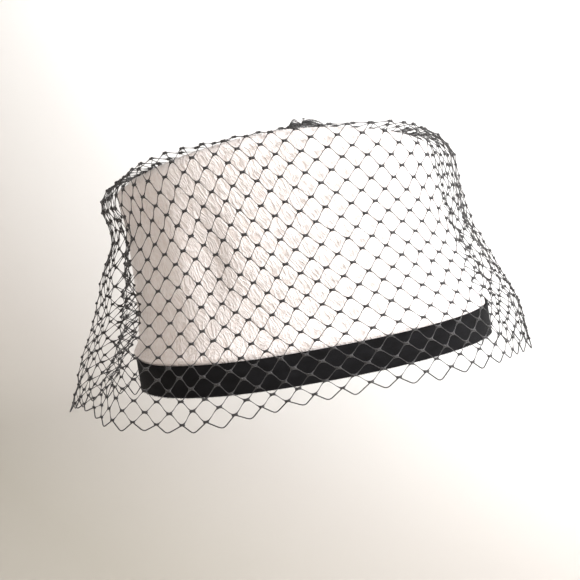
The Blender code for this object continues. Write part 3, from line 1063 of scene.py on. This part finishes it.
def smoothPaths(start, end, startWay, endWay, spread):
    # Cubic curves that leave and arrive along the given ways
    t = spread[None, :, None]
    one, two = start + startWay, end - endWay
    start, end, one, two = (p[:, None] for p in (start, end, one, two))
    return start * (1 - t) ** 3 + one * 3 * t * (1 - t) ** 2 + two * 3 * t**2 * (1 - t) + end * t**3


def tubes(paths, radius, sides):
    # Closed tubes round many paths at once. radius has a value for each point of each path
    count, steps, _ = paths.shape
    way = unit(np.gradient(paths, axis=1))
    first = unit(np.cross(way, paths - np.array((0, 0, net["middle"]))))
    second = np.cross(way, first)
    turn = np.arange(sides) / sides * 2 * pi
    ring = first[:, :, None] * np.cos(turn)[:, None] + second[:, :, None] * np.sin(turn)[:, None]
    points = (paths[:, :, None] + ring * radius[:, :, None, None]).reshape(-1, 3)
    faces = []
    for k in range(count):
        base = k * steps * sides
        for j in range(steps - 1):
            low = base + j * sides
            for i in range(sides):
                after = (i + 1) % sides
                faces.append((low + i, low + after, low + sides + after, low + sides + i))
        faces.append(tuple(base + i for i in reversed(range(sides))))
        faces.append(tuple(base + (steps - 1) * sides + i for i in range(sides)))
    return points, faces


def levelWays(row):
    # The way round the hat at each knot of a row
    return unit(np.roll(row, -1, axis=0) - np.roll(row, 1, axis=0))


def squeeze(row):
    # The share of its full width that is left to each cell of a row where the net is gathered
    full, least = 2.3, 0.35
    width = np.linalg.norm(np.roll(row, -1, axis=0) - np.roll(row, 1, axis=0), axis=1) / 2
    return np.clip(width / (full * net["knotLength"]), least, 1)


def makeKnots(places, level, outward, squeezed):
    # One wound knot, modelled from a sphere and copied to every crossing
    deselectAll()
    bpy.ops.mesh.primitive_uv_sphere_add(segments=8, ring_count=6, radius=0.5, location=(0, 0, 0))
    model = bpy.context.object
    form = np.array([vertex.co[:] for vertex in model.data.vertices])
    solid = [tuple(face.vertices) for face in model.data.polygons]
    bpy.data.objects.remove(model, do_unlink=True)
    # the sphere's poles lie along the knot's length; it is pinched in the middle by the wound thread
    form = form[:, [2, 0, 1]]
    pinch = net["knotPinch"] + net["knotEnds"] * np.abs(np.sin(form[:, 0] * 2 * pi * net["knotWaves"]))
    form = form * np.stack((pinch * 0 + 1, pinch, pinch), axis=-1)
    random = np.random.default_rng(11)
    size = random.uniform(*net["knotSizes"], len(places))[:, None]
    squeezed = squeezed[:, None]
    slim = net["slimmest"] + (1 - net["slimmest"]) * squeezed
    long = level * net["knotLength"] * size * squeezed
    high = np.cross(outward, level) * net["knotHeight"] * size * slim
    deep = outward * net["knotHeight"] * size * slim
    body = sum(form[None, :, k, None] * way[:, None] for k, way in enumerate((long, high, deep)))
    points = (places[:, None] + body).reshape(-1, 3)
    faces = [tuple(k * len(form) + i for i in face) for k in range(len(places)) for face in solid]
    return meshPiece("netKnots", points, faces)


def sheetKnots(random):
    # The rows of knots from the gather to the hem, and the angles of the first row
    sheet = Sheet(netSheet(net["sheetTurns"], net["sheetSteps"]))
    rows = knotRows(sheet)
    last = len(rows) - 1
    column = np.arange(net["columns"])[:, None]
    angle = columnAngles(column + 0.5 * (np.arange(len(rows)) % 2)[None, :] - 0.5 * (last % 2))
    along = np.repeat(rows[None, :], net["columns"], axis=0)
    along = along - net["rowLift"] * np.interp(along, (0, 0.3, 0.8, 1), (0, 1, 1, 0))
    place = np.interp(along, *sheetPlaces())
    for centre, halfAngle, start, full, end, lower in netWaves:
        grown = np.interp(place, (start, full, end), (0, 1, 0))
        along = along + lower * bell(angle, centre, halfAngle) * grown
    angle, along = relaxKnots(sheet, angle, along)
    angle, depth = drawTogether(angle, np.interp(along, *sheetPlaces()))
    knots = [sheet.at(angle[:, r], along[:, r]) for r in range(len(rows))]
    knots = [row + rimOutward(angle[:, r]) * depth[:, r, None] for r, row in enumerate(knots)]
    knots = [row + random.normal(0, net["knotJitter"], row.shape) for row in knots]
    print("net:", len(rows), "rows of knots on the sheet")
    return knots, angle[:, 0]


def netStrands(allRows, shifted):
    # The path of every strand between two knots, and how full its knots' horns are
    starts, ends, startWays, endWays, horns = [], [], [], [], []
    slimmest = net["slimmest"]
    for r in range(len(allRows) - 2):
        upper, lower = allRows[r], allRows[r + 1]
        upperLevel, lowerLevel = levelWays(upper), levelWays(lower)
        for side in (0, 1):
            partner = partners(len(upper), side, shifted[r])
            turned = net["strandTurns"][side] * (1 if side else -1)
            chord = lower[partner] - upper
            handle = np.linalg.norm(chord, axis=1)[:, None]
            leave = unit(turned * upperLevel + 0.5 * unit(chord))
            arrive = unit(turned * lowerLevel[partner] + 0.5 * unit(chord))
            startWays.append(leave * handle * net["strandHandle"])
            endWays.append(arrive * handle * net["strandHandle"])
            starts.append(upper)
            ends.append(lower[partner])
            full = (squeeze(upper) + squeeze(lower)[partner]) / 2
            horns.append((full - slimmest) / (1 - slimmest))
    ways = (np.concatenate(part) for part in (starts, ends, startWays, endWays))
    return smoothPaths(*ways, np.array(net["strandSteps"])), np.concatenate(horns)


def makeNet(thread):
    random = np.random.default_rng(7)
    knots, firstAngles = sheetKnots(random)
    # half columns of the tuft's rows follow on from the sheet's first row
    tuft = []
    for k, row in enumerate(tuftRows(firstAngles, random)):
        if k % 2 == 0:
            row = (row + np.roll(row, 1, axis=0)) / 2
        tuft.insert(0, row)
    lead = len(tuft)
    allRows = tuft + knots
    last = len(allRows) - 1
    shifted = [(r - lead) % 2 for r in range(len(allRows))]
    paths, horns = netStrands(allRows, shifted)
    # strands thicken into a horn where they run into a knot
    spread = np.array(net["strandSteps"])
    fromKnot = np.minimum(spread, 1 - spread) * net["strandChord"]
    horn = net["knotHorn"] * np.exp(-((fromKnot / net["knotReach"]) ** 2))
    radius = net["thread"] / 2 * (1 + horns[:, None] * horn)
    radius = radius * random.uniform(*net["threadSizes"], len(paths))[:, None]
    radius[: lead * 2 * net["columns"]] = net["thread"] / 2 * net["tuftThread"]
    half = len(paths) // 2
    for name, share in (("netStrandsHigh", slice(0, half)), ("netStrandsLow", slice(half, None))):
        points, faces = tubes(paths[share], radius[share], net["threadSides"])
        finishPiece(meshPiece(name, points, faces), "veil", thread)
    hem = hemLoops(allRows[last - 1], allRows[last], shifted[last - 1], random)
    finishPiece(hem, "veil", thread)
    held = allRows[lead:last]
    places = np.concatenate(held)
    levels = np.concatenate([levelWays(row) for row in held])
    outward = unit(places - np.array((0, 0, net["middle"])))
    outward = unit(outward - levels * (outward * levels).sum(1)[:, None])
    knotPiece = makeKnots(places, levels, outward, np.concatenate([squeeze(row) for row in held]))
    finishPiece(knotPiece, "veil", thread)
    print("net:", len(paths), "strands,", len(places), "knots")


def hemLoops(upper, low, shifted, random):
    # The last row hangs as rounded V loops of a thicker thread, with no knot at the bottom
    columns, steps, bend = len(upper), net["hemSteps"], net["hemBend"]
    nextColumn = (np.arange(columns) + 1) % columns
    # the low point between a knot and the next one
    bottom = low[nextColumn] if shifted else low
    left, right = upper, upper[nextColumn]
    dip = bottom + random.normal(0, net["hemJitter"], bottom.shape)
    across = unit(right - left)
    wide = np.linalg.norm(right - left, axis=1)[:, None, None]
    t = np.linspace(0, 1, steps)[None, :, None]
    # two straight arms that turn round the low point in a short bend
    arm = np.abs(2 * t - 1)
    soft = np.where(arm < bend, (arm**2 + bend**2) / (2 * bend), arm)
    middle = (left + right) / 2
    path = dip[:, None] + (middle - dip)[:, None] * soft + across[:, None] * (t - 0.5) * wide
    radius = np.full((columns, steps), net["hemThread"] / 2)
    points, faces = tubes(path, radius, net["hemSides"])
    return meshPiece("netHem", points, faces)


def threadMaterial():
    material, shader, start = newMaterial(
        "netThread", Specular_IOR_Level=0.6, Sheen_Weight=0.2, Sheen_Roughness=0.4,
    )
    twist = start.cloud(net["twistScale"], 2.0)
    dye = start.cloud(net["dyeScale"], 2.0)
    feed(shader, "Base Color", mixColour(dye, net["colour"], net["dyeColour"]))
    feed(shader, "Roughness", twist * net["roughnessVaries"] + net["roughness"])
    feed(shader, "Normal", twist.bump(0.7, net["twistBump"]))
    return material


makeCamera()
makeFloor()
makeLights()
makeCrown()
cloth = velvetMaterial()
makeBand(cloth)
makePile(cloth)
makeNet(threadMaterial())
